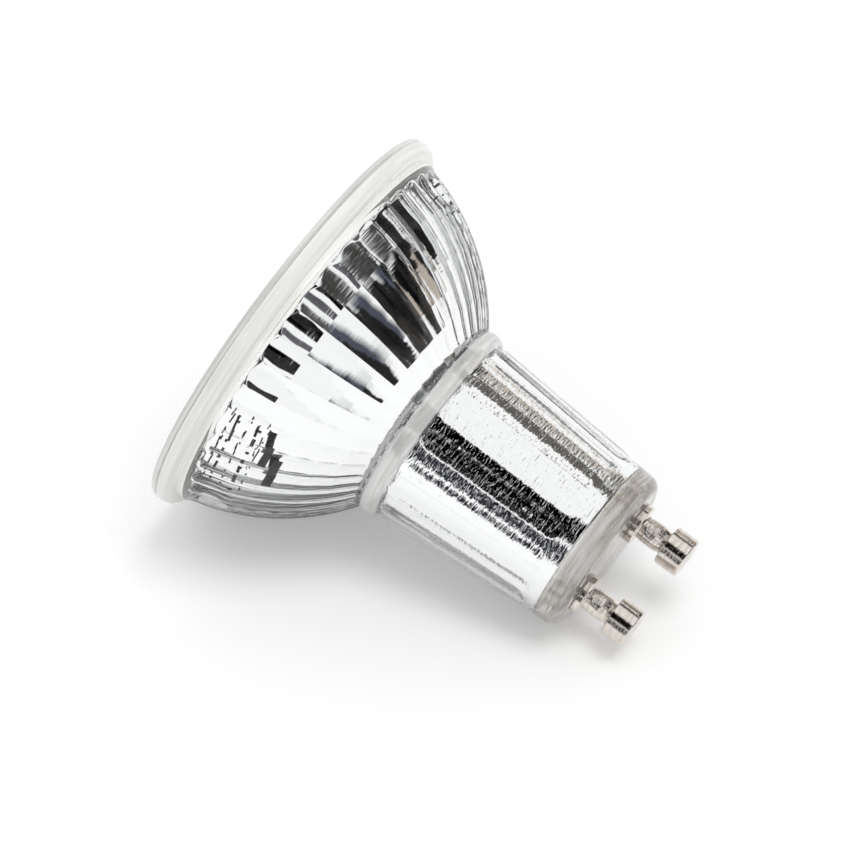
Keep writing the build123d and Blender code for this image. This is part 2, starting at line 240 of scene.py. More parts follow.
# A closed surface turned about Z in millimetres. Each ring has its radius, height and material's
# name, from the pin end round the outside to the front, and both ends close at a point on the axis
def spinMesh(name, rings, ends, columns, materials, sharpDegrees, centre=(0.0, 0.0), creases=None):
    turn = columnAngles(columns)
    cosines, sines = np.cos(turn), np.sin(turn)
    slotOf = {finish: slot for slot, finish in enumerate(materials)}
    points = [(*centre, ends[0])]
    faces, slots = [], []
    for radius, height, _ in rings:
        xs, ys = centre[0] + radius * cosines, centre[1] + radius * sines
        points.extend((x, y, height) for x, y in zip(xs.tolist(), ys.tolist()))
    last = len(points)
    points.append((*centre, ends[1]))
    lastRow = 1 + (len(rings) - 1) * columns
    for column in range(columns):
        after = (column + 1) % columns
        faces.append((0, 1 + column, 1 + after))
        slots.append(slotOf[rings[0][2]])
        for row in range(len(rings) - 1):
            here, below = 1 + row * columns, 1 + (row + 1) * columns
            faces.append((here + column, below + column, below + after, here + after))
            slots.append(slotOf[rings[row + 1][2]])
        faces.append((lastRow + column, last, lastRow + after))
        slots.append(slotOf[rings[-1][2]])
    mesh = bpy.data.meshes.new(name)
    mesh.from_pydata([tuple(c * mm for c in point) for point in points], [], faces)
    mesh.update()
    for material in materials.values():
        mesh.materials.append(material)
    mesh.polygons.foreach_set("material_index", slots)
    mesh.polygons.foreach_set("use_smooth", [True] * len(faces))
    mesh.set_sharp_from_angle(angle=math.radians(sharpDegrees))
    if creases:
        markCreases(mesh, columns, *creases)
    piece = bpy.data.objects.new(name, mesh)
    bpy.context.scene.collection.objects.link(piece)
    return piece


# The glass body: rim, fluted bowl, bead, ribbed neck and thick base, with the mirror on its inside
glass = {
    "columns": 480, "sharpDegrees": 24,
    "rimRadius": 24.985, "rimBack": 23.9, "rimTop": 2.65, "rimStraight": 0.45, "rimChamfer": 0.1,
    "rimRows": 14, "bandRadius": 23.35, "bandFillet": 0.08, "mouthRadius": 21.9,
    "bowlFront": 3.4, "bowlBack": 19.15, "bowlFrontRadius": 23.1, "bowlBackRadius": 12.75,
    "bowlCurve": 26.3, "bowlRowsStart": 0.1, "bowlRowsEnd": 0.25, "bowlRows": 26,
    "fluteCount": 40, "fluteDepth": 0.45, "fluteReach": 1.4, "archDrop": 1.0, "archRun": 1.15,
    "archRowsStart": 0.1, "archRowsEnd": 0.06, "archRows": 14,
    "wall": 1.75, "facetHeights": (3.4, 7.5, 9.71, 11.92, 14.13, 16.34, 18.55),
    "facetPillow": 0.05, "facetRows": 5,
    "beadRadius": 12.45, "beadFoot": 11.7, "beadTop": 21.85,
    "beadRowsStart": 0.12, "beadRowsEnd": 0.2, "beadRows": 20,
    "neckTop": 40.95, "neckFront": 11.55, "neckBack": 10.25, "neckWall": 1.55,
    "ribCount": 18, "ribPhase": 5.0, "ribWidth": 1.95, "ribHeight": 0.17, "ribSoftness": 1.1,
    "ribStart": 22.35, "ribLength": 18.2, "ribMargin": 0.15, "ribEndRun": 1.15, "ribEndRows": 11,
    "ribMiddleStart": 2.5, "ribMiddleRows": 6,
    "baseRadius": 10.15, "baseRoundStart": 44.0, "baseTop": 45.65, "baseFace": 8.6,
    "baseInnerRing": 1.5, "baseOuterInset": 0.3, "baseFaceRows": 5, "baseRoundRows": 14,
    "sideRowsStart": 0.6, "sideRowsEnd": 0.1, "sideRows": 5,
    "floor": 42.95, "floorRings": (5.0, 2.0), "seatStep": 0.02, "boreStart": 0.1, "boreRows": 10,
    "boreFillet": 0.5, "boreFilletRows": 5,
    "baseGlassStart": 0.3, "beadGlassStart": 0.7, "beadGlassEnd": 0.1, "rimGlassEnd": 0.05,
    "wander": 0.03, "waves": ((3, 1.0, 0.7), (7, 0.6, 2.1)),  # count, share and phase of each wave
    "sideWander": 0.5, "rollWander": 0.4, "frontWander": 0.3,  # shares of the wander
}


# Radius of an arc that rises this far over half its chord
def arcRadius(halfChord, rise):
    return (halfChord ** 2 + rise ** 2) / (2 * rise)


# The bowl's outer profile along the crests of the flutes
def bowlCrest(height):
    rise, drop = glass["bowlBack"] - glass["bowlFront"], glass["bowlFrontRadius"] - glass["bowlBackRadius"]
    chord = math.hypot(rise, drop)
    offset = math.sqrt(glass["bowlCurve"] ** 2 - chord ** 2 / 4)
    centreHeight = (glass["bowlFront"] + glass["bowlBack"]) / 2 - offset * drop / chord
    centreRadius = (glass["bowlFrontRadius"] + glass["bowlBackRadius"]) / 2 - offset * rise / chord
    return centreRadius + math.sqrt(glass["bowlCurve"] ** 2 - (height - centreHeight) ** 2)


# Each flute is one arc from valley to valley
def fluteRadius(angles, height):
    crest = bowlCrest(height)
    valley = crest - glass["fluteDepth"] * crest / glass["bowlFrontRadius"]
    half = math.pi / glass["fluteCount"]
    arc = arcRadius(valley * math.sin(half), crest - valley * math.cos(half))
    local = (angles + half) % (2 * half) - half
    middle = crest - arc
    return middle * np.cos(local) + np.sqrt(arc ** 2 - (middle * np.sin(local)) ** 2)


def beadProfile(height):
    middle = (glass["bowlBack"] + glass["beadTop"]) / 2
    arc = arcRadius((glass["beadTop"] - glass["bowlBack"]) / 2, glass["beadRadius"] - glass["beadFoot"])
    return glass["beadRadius"] - arc + math.sqrt(max(arc ** 2 - (height - middle) ** 2, 0))


def neckProfile(height):
    share = (height - glass["beadTop"]) / (glass["neckTop"] - glass["beadTop"])
    return glass["neckFront"] + (glass["neckBack"] - glass["neckFront"]) * share


# Long round-ended pads, with edges softened as pressed glass has them
def ribRadius(angles, height):
    base = neckProfile(height)
    pitch = 2 * math.pi / glass["ribCount"]
    local = (angles - math.radians(glass["ribPhase"]) + pitch / 2) % pitch - pitch / 2
    across = np.abs(local) * base
    middle = glass["ribStart"] + glass["ribLength"] / 2
    beyond = max(abs(height - middle) - (glass["ribLength"] - glass["ribWidth"]) / 2, 0)
    outside = np.hypot(across, beyond) - glass["ribWidth"] / 2
    step = np.clip(0.5 - outside / glass["ribSoftness"], 0, 1)
    return base + glass["ribHeight"] * step * step * (3 - 2 * step)


# Slow waves round the rim and the base, always inwards
def unevenness(angles):
    waves = sum(share * np.sin(count * angles + phase) for count, share, phase in glass["waves"])
    highest = sum(share for _, share, _ in glass["waves"])
    return glass["wander"] * (waves - highest) / 2


# The base: flat face, rounded edge and the short side up to the neck
def baseRings(angles):
    uneven = unevenness(angles)
    radii = spread(glass["baseInnerRing"], glass["baseFace"] - glass["baseOuterInset"], glass["baseFaceRows"])
    rings = [(radius, glass["baseTop"]) for radius in radii]
    rise = glass["baseTop"] - glass["baseRoundStart"]
    arc = arcRadius(rise, glass["baseRadius"] - glass["baseFace"])
    for turn in spread(math.asin(rise / arc), 0, glass["baseRoundRows"]):
        radius = glass["baseRadius"] - arc + arc * math.cos(turn)
        rings.append((radius + uneven, glass["baseRoundStart"] + arc * math.sin(turn)))
    first, final = glass["baseRoundStart"] - glass["sideRowsStart"], glass["neckTop"] + glass["sideRowsEnd"]
    for height in spread(first, final, glass["sideRows"]):
        share = (glass["baseRoundStart"] - height) / (glass["baseRoundStart"] - glass["neckTop"])
        radius = glass["baseRadius"] + (glass["neckBack"] - glass["baseRadius"]) * share
        rings.append((radius + uneven * glass["sideWander"], height))
    return rings


# The ribbed neck, with closer rows at both ends of the ribs
def neckRings(angles):
    ribStart, ribEnd = glass["ribStart"], glass["ribStart"] + glass["ribLength"]
    margin, endRun, middleStart = glass["ribMargin"], glass["ribEndRun"], glass["ribMiddleStart"]
    heights = spread(ribEnd + margin, ribEnd - endRun, glass["ribEndRows"])
    heights += spread(ribEnd - middleStart, ribStart + middleStart, glass["ribMiddleRows"])
    heights += spread(ribStart + endRun, ribStart - margin, glass["ribEndRows"])
    return [(ribRadius(angles, height), height) for height in heights]


# The bead, where the narrow ends of the flutes run into it
def beadRings(angles):
    rings = []
    first, final = glass["beadTop"] + glass["beadRowsStart"], glass["bowlBack"] + glass["beadRowsEnd"]
    for height in spread(first, final, glass["beadRows"]):
        radius = neckProfile(height) if height > glass["beadTop"] else beadProfile(height)
        if height < glass["bowlBack"] + glass["fluteReach"]:
            radius = np.maximum(radius, fluteRadius(angles, height))
        rings.append((radius, height))
    return rings


# The flutes, cut off in arches by the slope up to the band behind the rim
def bowlRings(angles):
    archTop = glass["bowlFront"] + glass["archRun"]
    first, final = glass["bowlBack"] - glass["bowlRowsStart"], archTop + glass["bowlRowsEnd"]
    rings = [(fluteRadius(angles, height), height) for height in spread(first, final, glass["bowlRows"])]
    first, final = archTop + glass["archRowsStart"], glass["bowlFront"] + glass["archRowsEnd"]
    for height in spread(first, final, glass["archRows"]):
        slope = glass["bandRadius"] - glass["archDrop"] * (height - glass["bowlFront"]) / glass["archRun"]
        rings.append((np.maximum(slope, fluteRadius(angles, height)), height))
    return rings


# The rim: band, rolled back, short straight side and chamfered front
def rimRings(angles):
    uneven, band, fillet = unevenness(angles), glass["bandRadius"], glass["bandFillet"]
    rings = [(band, glass["bowlFront"]), (band, glass["rimTop"] + fillet), (band + fillet, glass["rimTop"])]
    straight = glassFront + glass["rimStraight"]
    run = glass["rimTop"] - straight
    arc = arcRadius(run, glass["rimRadius"] - glass["rimBack"])
    for turn in spread(math.asin(run / arc), 0, glass["rimRows"]):
        radius = glass["rimRadius"] - arc + arc * math.cos(turn)
        rings.append((radius + uneven * glass["rollWander"], straight + arc * math.sin(turn)))
    rings.append((glass["rimRadius"] + uneven * glass["frontWander"], glassFront + glass["rimChamfer"]))
    rings.append((glass["rimRadius"] - glass["rimChamfer"] + uneven * glass["frontWander"], glassFront))
    rings.append(((glass["rimRadius"] + glass["mouthRadius"]) / 2, glassFront))
    return rings


# Clear glass outside, apart from the thick base, the bead and the rim
def outsideGlass(height):
    if height > glass["floor"] - glass["baseGlassStart"]:
        return "baseGlass"
    if glass["bowlBack"] + glass["beadGlassStart"] < height < glass["beadTop"] - glass["beadGlassEnd"]:
        return "beadGlass"
    return "rimGlass" if height < glass["bowlFront"] - glass["rimGlassEnd"] else "clearGlass"


def glassOutside(angles):
    rings = baseRings(angles) + neckRings(angles) + beadRings(angles) + bowlRings(angles) + rimRings(angles)
    return [(radius, height, outsideGlass(height)) for radius, height in rings]


def facetFlat(height):
    return (bowlCrest(height) - glass["wall"]) * math.cos(math.pi / glass["fluteCount"])


# The inside: plain mouth, rings of slightly pillowed facets, shoulder, bore and clear floor
def glassInside(angles):
    half = math.pi / glass["fluteCount"]
    local = (angles + half) % (2 * half) - half
    rings = [(glass["mouthRadius"], height, "clearGlass") for height in (glassFront, glass["bowlFront"])]
    for low, high in zip(glass["facetHeights"], glass["facetHeights"][1:]):
        for share in spread(0, 1, glass["facetRows"], openEnd=True):
            flat = facetFlat(low) + (facetFlat(high) - facetFlat(low)) * share
            pillow = glass["facetPillow"] * (1 - (2 * share - 1) ** 2) * (1 - (local / half) ** 2)
            rings.append((flat / np.cos(local) + pillow, low + (high - low) * share, "bowlMirror"))
    seat = glass["facetHeights"][-1]
    rings.append((facetFlat(seat) / np.cos(local), seat, "bowlMirror"))
    boreFront, fillet = glass["neckFront"] - glass["neckWall"], glass["boreFillet"]
    taper = (glass["neckFront"] - glass["neckBack"]) / (glass["neckTop"] - glass["beadTop"])
    first, final = glass["ribStart"] - glass["boreStart"], glass["floor"] - fillet
    for height in [seat + glass["seatStep"]] + spread(first, final, glass["boreRows"]):
        rings.append((boreFront - taper * (height - glass["beadTop"]), height, "neckMirror"))
    for turn in spread(0, math.pi / 2, glass["boreFilletRows"]):
        radius = boreFront - taper * (glass["floor"] - glass["beadTop"]) - fillet * (1 - math.cos(turn))
        rings.append((radius, final + fillet * math.sin(turn), "neckMirror"))
    return rings + [(radius, glass["floor"], "clearGlass") for radius in glass["floorRings"]]


def addGrain(tree, shader, **grain):
    waves = useGroup(tree, surfaceGrain, (-600, 0), **grain)
    tree.links.new(waves.outputs["Normal"], shader.inputs["Normal"])


def makeClearGlass(name):
    material, tree, shader = newMaterial(name)
    shader.inputs["Base Color"].default_value = (0.985, 0.99, 0.985, 1)
    shader.inputs["Roughness"].default_value = 0.0
    shader.inputs["IOR"].default_value = 1.5
    shader.inputs["Specular Tint"].default_value = (0.45, 0.45, 0.45, 1)
    shader.inputs["Transmission Weight"].default_value = 1.0
    addGrain(tree, shader, round=260, along=420, detail=2.0, height=0.000008)
    return material


# Clear pieces with a diffuse share, painted light that stands in for the bright light seen through clear
# glass, so that they look as pale as in the photo
def makePaintedPaleGlass(name, clearness, **values):
    material, tree, shader, finish = makeFinish(name, **values)
    shader.inputs["IOR"].default_value = 1.5
    shader.inputs["Transmission Weight"].default_value = clearness
    return material


def makeMirror(name, **grain):
    material, tree, shader = newMaterial(name)
    shader.inputs["Base Color"].default_value = (0.93, 0.935, 0.94, 1)
    shader.inputs["Metallic"].default_value = 1.0
    shader.inputs["Roughness"].default_value = 0.015
    addGrain(tree, shader, **grain)
    return material


mirrors = {
    "bowlMirror": dict(round=250, along=3200, detail=3.0, height=0.000008),
    "neckMirror": dict(round=850, along=3600, detail=2.0, height=0.00004),
}
# The pale tone of each is painted light, and its darker second tone paints streaks of reflection; the base's
# beige second tone paints the beige and dark surroundings reflected in the thick glass
paintedPaleGlasses = {
    "rimGlass": dict(clearness=0.15, tone=(1.0, 1.0, 0.98, 1), secondTone=(0.85, 0.855, 0.82, 1),
                     round=60, along=2600, smooth=0.0, rough=0.15, height=0.00002),
    "beadGlass": dict(clearness=0.45, tone=(1.0, 1.0, 0.99, 1), secondTone=(0.76, 0.76, 0.74, 1),
                      round=150, along=1800, smooth=0.0, rough=0.15, height=0.00004),
    "baseGlass": dict(clearness=0.7, tone=(1.0, 0.99, 0.97, 1), secondTone=(0.62, 0.57, 0.51, 1),
                      round=150, along=1700, smooth=0.0, rough=0.12, height=0.0003),
}


def makeGlassBody():
    materials = {"clearGlass": makeClearGlass("clearGlass")}
    materials.update({name: makeMirror(name, **values) for name, values in mirrors.items()})
    materials.update({name: makePaintedPaleGlass(name, **values) for name, values in paintedPaleGlasses.items()})
    angles = columnAngles(glass["columns"])
    outsideRings, insideRings = glassOutside(angles), glassInside(angles)
    firstFacetRow = len(outsideRings) + 2  # the two rings of the mouth come first
    creaseRows = [firstFacetRow + glass["facetRows"] * index for index in range(len(glass["facetHeights"]))]
    perFacet = glass["columns"] // glass["fluteCount"]
    creaseColumns = [perFacet // 2 + perFacet * index for index in range(glass["fluteCount"])]
    return spinMesh("glassBody", outsideRings + insideRings, (glass["baseTop"], glass["floor"]),
                    glass["columns"], materials, glass["sharpDegrees"],
                    creases=(creaseRows, creaseColumns))


glassBody = makeGlassBody()
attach(glassBody, "root")
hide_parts("glass_body")
print("stage: glass body", len(glassBody.data.polygons))


# Plain dashes and bars of black ink on the flutes, to the left and right of the side towards the camera
ink = {
    "lift": 0.012, "thick": 0.02, "fineness": 0.12, "fewestAcross": 4, "levels": 4,
    "bars": ((327.0, 11.3, 4.6, 0.95), (320.0, 10.0, 3.3, 0.85)),  # angle, height, width, depth
    "rows": ((4.9, 0.18), (5.7, 0.3), (6.9, 0.18), (8.1, 0.4), (9.0, 0.16)),  # height, depth
    "dashes": (1.3, 0.3, 0.7, 0.3, 2.1, 0.5, 0.3, 1.0, 0.5, 0.3), "gap": 0.95,
    "zones": ((310.0, 343.0), (192.0, 211.0)), "stagger": 1.5, "dashShift": 3,
}


def inkPads():
    pads = list(ink["bars"])
    for start, end in ink["zones"]:
        for row, (height, depth) in enumerate(ink["rows"]):
            radius, angle = bowlCrest(height), start + ink["stagger"] * (row % 2)
            index = ink["dashShift"] * row
            while True:
                width = ink["dashes"][index % len(ink["dashes"])]
                turn = math.degrees(width / radius)
                if angle + turn > end:
                    break
                pads.append((angle + turn / 2, height, width, depth))
                angle += turn + math.degrees(ink["gap"] / radius)
                index += 1
    return pads


# One pad: a thin closed skin that follows the flutes under it
def addPad(points, faces, angle, height, width, depth):
    half = width / bowlCrest(height) / 2
    across = max(ink["fewestAcross"], int(width / ink["fineness"]))
    turns = np.linspace(math.radians(angle) - half, math.radians(angle) + half, across)
    heights = np.linspace(height - depth / 2, height + depth / 2, ink["levels"])
    first = len(points)
    for lift in (ink["lift"], ink["lift"] + ink["thick"]):
        for level in heights:
            radii = fluteRadius(turns, level) + lift
            points += [(r * math.cos(t) * mm, r * math.sin(t) * mm, level * mm) for r, t in zip(radii, turns)]
    rows, layer = len(heights), len(heights) * across
    for row in range(rows - 1):
        for column in range(across - 1):
            a = first + row * across + column
            b, c, d = a + 1, a + 1 + across, a + across
            faces.append((a, d, c, b))
            faces.append((a + layer, b + layer, c + layer, d + layer))
    edge = [first + column for column in range(across)]
    edge += [first + row * across + across - 1 for row in range(1, rows)]
    edge += [first + (rows - 1) * across + column for column in range(across - 2, -1, -1)]
    edge += [first + row * across for row in range(rows - 2, 0, -1)]
    for here, after in zip(edge, edge[1:] + edge[:1]):
        faces.append((here, after, after + layer, here + layer))


def makeInk():
    points, faces = [], []
    for pad in inkPads():
        addPad(points, faces, *pad)
    mesh = bpy.data.meshes.new("inkMarks")
    mesh.from_pydata(points, [], faces)
    mesh.update()
    blackInk = makeFinish("blackInk", tone=(0.012, 0.012, 0.014, 1), secondTone=(0.05, 0.05, 0.055, 1),
                          round=1500, along=1500, smooth=0.35, rough=0.7, height=0.000005)[0]
    mesh.materials.append(blackInk)
    marks = bpy.data.objects.new("inkMarks", mesh)
    bpy.context.scene.collection.objects.link(marks)
    return marks


inkMarks = makeInk()
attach(inkMarks, "root")
print("stage: ink marks", len(inkMarks.data.polygons))


# The front lens: clear cover with a standing edge, a recess and a skirt inside the mouth
lens = {
    "columns": 240, "sharpDegrees": 30, "faceRings": (4.0, 14.0),
    "radius": 24.9, "edge": 0.82, "round": 0.5, "roundRows": 9, "backRound": 0.06, "back": 1.55,
    "recess": 0.35, "recessRadius": 22.4, "recessRound": 0.1, "recessLip": 0.03,
    "skirtOuter": 21.55, "skirtInner": 20.55, "skirtDepth": 1.4, "skirtFoot": 0.2, "skirtRound": 0.15,
    "skirtFillet": 0.05,
}


def lensRings():
    deep, small, fillet = lens["edge"] + lens["skirtDepth"], lens["skirtRound"], lens["skirtFillet"]
    backRadii = (*lens["faceRings"], lens["skirtInner"] - lens["skirtFoot"])
    rings = [(radius, lens["back"]) for radius in backRadii]
    rings += [(lens["skirtInner"], lens["back"] + lens["skirtFoot"]), (lens["skirtInner"], deep - small),
              (lens["skirtInner"] + small, deep), (lens["skirtOuter"] - small, deep),
              (lens["skirtOuter"], deep - small), (lens["skirtOuter"], lens["edge"] + fillet),
              (lens["skirtOuter"] + fillet, lens["edge"]), (lens["radius"] - lens["backRound"], lens["edge"]),
              (lens["radius"], lens["edge"] - lens["backRound"])]
    for turn in spread(0, math.pi / 2, lens["roundRows"]):
        radius = lens["radius"] - lens["round"] * (1 - math.cos(turn))
        rings.append((radius, lens["round"] * (1 - math.sin(turn))))
    rings += [(lens["recessRadius"] + lens["recessRound"], 0), (lens["recessRadius"], lens["recessLip"]),
              (lens["recessRadius"] - lens["recess"], lens["recess"])]
    rings += [(radius, lens["recess"]) for radius in reversed(lens["faceRings"])]
    return [(radius, height, "lensEdge" if radius >= lens["recessRadius"] else "lensPlastic")
            for radius, height in rings]


def makeLensPlastic():
    material, tree, shader = newMaterial("lensPlastic")
    shader.inputs["Base Color"].default_value = (0.97, 0.965, 0.95, 1)
    shader.inputs["Roughness"].default_value = 0.12
    shader.inputs["IOR"].default_value = 1.5
    shader.inputs["Transmission Weight"].default_value = 1.0
    addGrain(tree, shader, round=700, along=700, detail=1.0, height=0.00001)
    return material


def makeSilicone():
    material, tree, shader, finish = makeFinish(
        "clearSilicone", tone=(0.99, 0.99, 0.98, 1), secondTone=(0.96, 0.95, 0.93, 1),
        round=300, along=1600, smooth=0.0, rough=0.1, height=0.00001)
    shader.inputs["Transmission Weight"].default_value = 1.0
    shader.inputs["IOR"].default_value = 1.41
    return material


def dress(node, material):
    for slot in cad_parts[node].material_slots:
        slot.material = material


dress("lens_adhesive", makeSilicone())
lensMaterials = {
    "lensPlastic": makeLensPlastic(),
    # The lens edge's pale tone is painted light too, with a darker second tone that paints streaks of
    # reflection round it
    "lensEdge": makePaintedPaleGlass("lensEdge", clearness=0.3, tone=(1.0, 1.0, 0.99, 1),
                               secondTone=(0.70, 0.69, 0.67, 1), round=50, along=3000,
                               smooth=0.0, rough=0.2, height=0.00002),
}
frontLens = spinMesh("frontLens", lensRings(), (lens["back"], lens["recess"]), lens["columns"],
                     lensMaterials, lens["sharpDegrees"])
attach(frontLens, "root")
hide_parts("front_lens")
print("stage: front lens")


# Contact pins: flange, crimped shaft and turned head
pin = {
    "columns": 96, "sharpDegrees": 35, "bevel": 0.1, "fineBevel": 0.08,
    "flange": 2.47, "flangeBottom": 45.65, "flangeTop": 46.5, "stem": 1.3, "floor": 42.95,
    "collar": 2.0, "collarBottom": 42.35, "collarRound": 0.15,
    "shaft": 1.4, "belly": 1.52, "bellyHeight": 48.6, "shaftEnd": 1.3,
    "head": 2.4, "headBottom": 49.9, "top": 52.8, "round": 0.2, "roundStart": 0.1, "roundRows": 6,
    "headRowsStart": 0.5, "headRowsEnd": 0.4, "headRows": 4,
    "dimple": 0.28, "dimpleDepth": 0.2, "dimpleFloor": 0.5, "dimpleLip": 0.03,
    "dentStart": 47.0, "dentEnd": 49.3, "dentFloor": 0.9, "dentSlope": 1.5, "dentFlat": 0.35,
    "dentCurve": 0.9, "dentRowsStart": 0.2, "dentRows": 22,
    "ledgeAbove": 0.03, "ledgeTop": 0.01, "ledgeFoot": 0.12, "ledgeRows": 4,
    "aboveRows": 5, "footRows": (0.3, 0.1),
}


# The shaft swells from the flange to its belly and narrows to the head
def pinShaft(height):
    if height < pin["bellyHeight"]:
        share = (height - pin["flangeTop"]) / (pin["bellyHeight"] - pin["flangeTop"])
        return pin["shaft"] + (pin["belly"] - pin["shaft"]) * math.sin(share * math.pi / 2)
    share = (height - pin["bellyHeight"]) / (pin["headBottom"] - pin["bellyHeight"])
    return pin["belly"] + (pin["shaftEnd"] - pin["belly"]) * (1 - math.cos(share * math.pi / 2))


# The crimp flattens both sides of the shaft: sloped in from the flange, with a ledge towards the head
def crimped(radius, height, turn):
    if height < pin["dentStart"] or height > pin["dentEnd"]:
        return radius
    reach, across = np.abs(radius * np.sin(turn)), np.abs(radius * np.cos(turn))
    share = (height - pin["dentStart"]) / (pin["dentEnd"] - pin["dentStart"])
    limit = pin["belly"] - (pin["belly"] - pin["dentFloor"]) * min(share * pin["dentSlope"], 1.0)
    limit = limit + pin["dentCurve"] * np.clip(across - pin["dentFlat"], 0, None) ** 2
    return radius * (limit / np.maximum(reach, limit))


# Rows down the shaft, closest at the ledge of the crimp
def shaftHeights():
    ledge = pin["dentEnd"]
    heights = spread(pin["headBottom"] - pin["fineBevel"], ledge + pin["ledgeAbove"], pin["aboveRows"])
    heights += spread(ledge - pin["ledgeTop"], ledge - pin["ledgeFoot"], pin["ledgeRows"])
    heights += spread(ledge - pin["dentRowsStart"], pin["dentStart"], pin["dentRows"])
    return heights + [pin["flangeTop"] + lift for lift in pin["footRows"]]


def pinRings():
    turn = columnAngles(pin["columns"])
    top, under, bevel, fine = pin["top"], pin["headBottom"], pin["bevel"], pin["fineBevel"]
    rings = [(pin["dimple"] * pin["dimpleFloor"], top - pin["dimpleDepth"]),
             (pin["dimple"], top - pin["dimpleLip"]),
             (pin["dimple"] + fine, top), (pin["head"] - pin["round"] - bevel, top)]
    for lean in spread(pin["roundStart"], math.pi / 2, pin["roundRows"]):
        radius = pin["head"] - pin["round"] * (1 - math.sin(lean))
        rings.append((radius, top - pin["round"] * (1 - math.cos(lean))))
    for height in spread(top - pin["headRowsStart"], under + pin["headRowsEnd"], pin["headRows"]):
        rings.append((pin["head"], height))
    rings += [(pin["head"], under + bevel), (pin["head"] - bevel, under), (pin["shaftEnd"] + bevel, under)]
    for height in shaftHeights():
        rings.append((crimped(pinShaft(height), height, turn), height))
    rings += [(pin["shaft"] + fine, pin["flangeTop"]), (pin["flange"] - bevel, pin["flangeTop"]),
              (pin["flange"], pin["flangeTop"] - bevel), (pin["flange"], pin["flangeBottom"] + fine),
              (pin["flange"] - fine, pin["flangeBottom"]), (pin["stem"], pin["flangeBottom"]),
              (pin["stem"], pin["floor"]), (pin["collar"] - bevel, pin["floor"]),
              (pin["collar"], pin["floor"] - bevel),
              (pin["collar"], pin["collarBottom"] + pin["collarRound"]),
              (pin["collar"] - pin["collarRound"], pin["collarBottom"])]
    return [(radius, height, "nickel") for radius, height in rings]


def camelName(node):
    first, *rest = node.split("_")
    return first + "".join(word.capitalize() for word in rest)


# The nickel's tone is its own warm colour, darkened further as painted shade for the shaded table that the
# pins reflect
nickel = makeFinish("nickel", metallic=1.0, tone=(0.78, 0.74, 0.69, 1), secondTone=(0.62, 0.57, 0.52, 1),
                    round=500, along=4000, smooth=0.08, rough=0.16, height=0.00006)[0]
for node in ("right_pin", "left_pin"):
    low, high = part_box(node)
    middle = ((low.x + high.x) / 2 / mm, (low.y + high.y) / 2 / mm)
    contact = spinMesh(camelName(node), pinRings(), (pin["top"] - pin["dimpleDepth"], pin["collarBottom"]),
                       pin["columns"], {"nickel": nickel}, pin["sharpDegrees"], middle)
    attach(contact, "root")
    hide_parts(node)
print("stage: pins")


# The parts inside, seen through the front lens, keep their solids and get their finishes
innerParts = {
    "heat_spreader": dict(metallic=1.0, tone=(0.80, 0.81, 0.82, 1), secondTone=(0.68, 0.69, 0.71, 1),
                          round=300, along=300, smooth=0.22, rough=0.38, height=0.00001),
    "led_board": dict(tone=(0.93, 0.93, 0.91, 1), secondTone=(0.87, 0.88, 0.87, 1),
                      round=1800, along=1800, smooth=0.25, rough=0.4, height=0.000005),
    "leds": dict(tone=(0.92, 0.91, 0.86, 1), secondTone=(0.86, 0.85, 0.8, 1),
                 round=2500, along=2500, smooth=0.2, rough=0.35, height=0.000004),
    "board_screws": dict(metallic=1.0, tone=(0.72, 0.73, 0.74, 1), secondTone=(0.55, 0.56, 0.58, 1),
                         round=1200, along=5000, smooth=0.2, rough=0.4, height=0.00001),
    "insulating_cup": dict(tone=(0.88, 0.88, 0.85, 1), secondTone=(0.82, 0.82, 0.79, 1),
                           round=1400, along=1400, smooth=0.4, rough=0.6, height=0.00001),
    "driver_board": dict(tone=(0.05, 0.26, 0.12, 1), secondTone=(0.09, 0.36, 0.17, 1),
                         round=700, along=350, smooth=0.25, rough=0.45, height=0.00002),
    "bulk_capacitor": dict(tone=(0.05, 0.05, 0.08, 1), secondTone=(0.09, 0.09, 0.13, 1),
                           round=500, along=900, smooth=0.25, rough=0.45, height=0.00001),
    "film_capacitor": dict(tone=(0.80, 0.58, 0.08, 1), secondTone=(0.68, 0.46, 0.05, 1),
                           round=900, along=700, smooth=0.15, rough=0.3, height=0.00003),
    "inductor_core": dict(tone=(0.07, 0.07, 0.075, 1), secondTone=(0.12, 0.12, 0.125, 1),
                          round=2200, along=2200, smooth=0.4, rough=0.65, height=0.00001),
    "inductor_winding": dict(metallic=0.8, tone=(0.62, 0.26, 0.08, 1), secondTone=(0.40, 0.14, 0.04, 1),
                             round=150, along=5200, smooth=0.2, rough=0.4, height=0.00004),
    "driver_chip": dict(tone=(0.02, 0.02, 0.022, 1), secondTone=(0.045, 0.045, 0.05, 1),
                        round=2600, along=2600, smooth=0.35, rough=0.6, height=0.000006),
    "bridge_rectifier": dict(tone=(0.025, 0.025, 0.03, 1), secondTone=(0.05, 0.05, 0.055, 1),
                             round=2300, along=2300, smooth=0.3, rough=0.5, height=0.000006),
    "output_diode": dict(tone=(0.03, 0.03, 0.03, 1), secondTone=(0.06, 0.06, 0.06, 1),
                         round=2000, along=2000, smooth=0.3, rough=0.55, height=0.000006),
    "output_capacitor": dict(tone=(0.55, 0.36, 0.18, 1), secondTone=(0.44, 0.28, 0.13, 1),
                             round=1700, along=1700, smooth=0.3, rough=0.5, height=0.00001),
    "fuse_resistor": dict(tone=(0.62, 0.58, 0.45, 1), secondTone=(0.52, 0.48, 0.36, 1),
                          round=1500, along=1500, smooth=0.25, rough=0.5, height=0.00001),
}
wires = dict(metallic=1.0, tone=(0.74, 0.74, 0.72, 1), secondTone=(0.60, 0.60, 0.58, 1),
             round=2500, along=900, smooth=0.2, rough=0.4, height=0.00001)
wireNodes = ("right_lead", "left_lead", "positive_contact", "negative_contact")

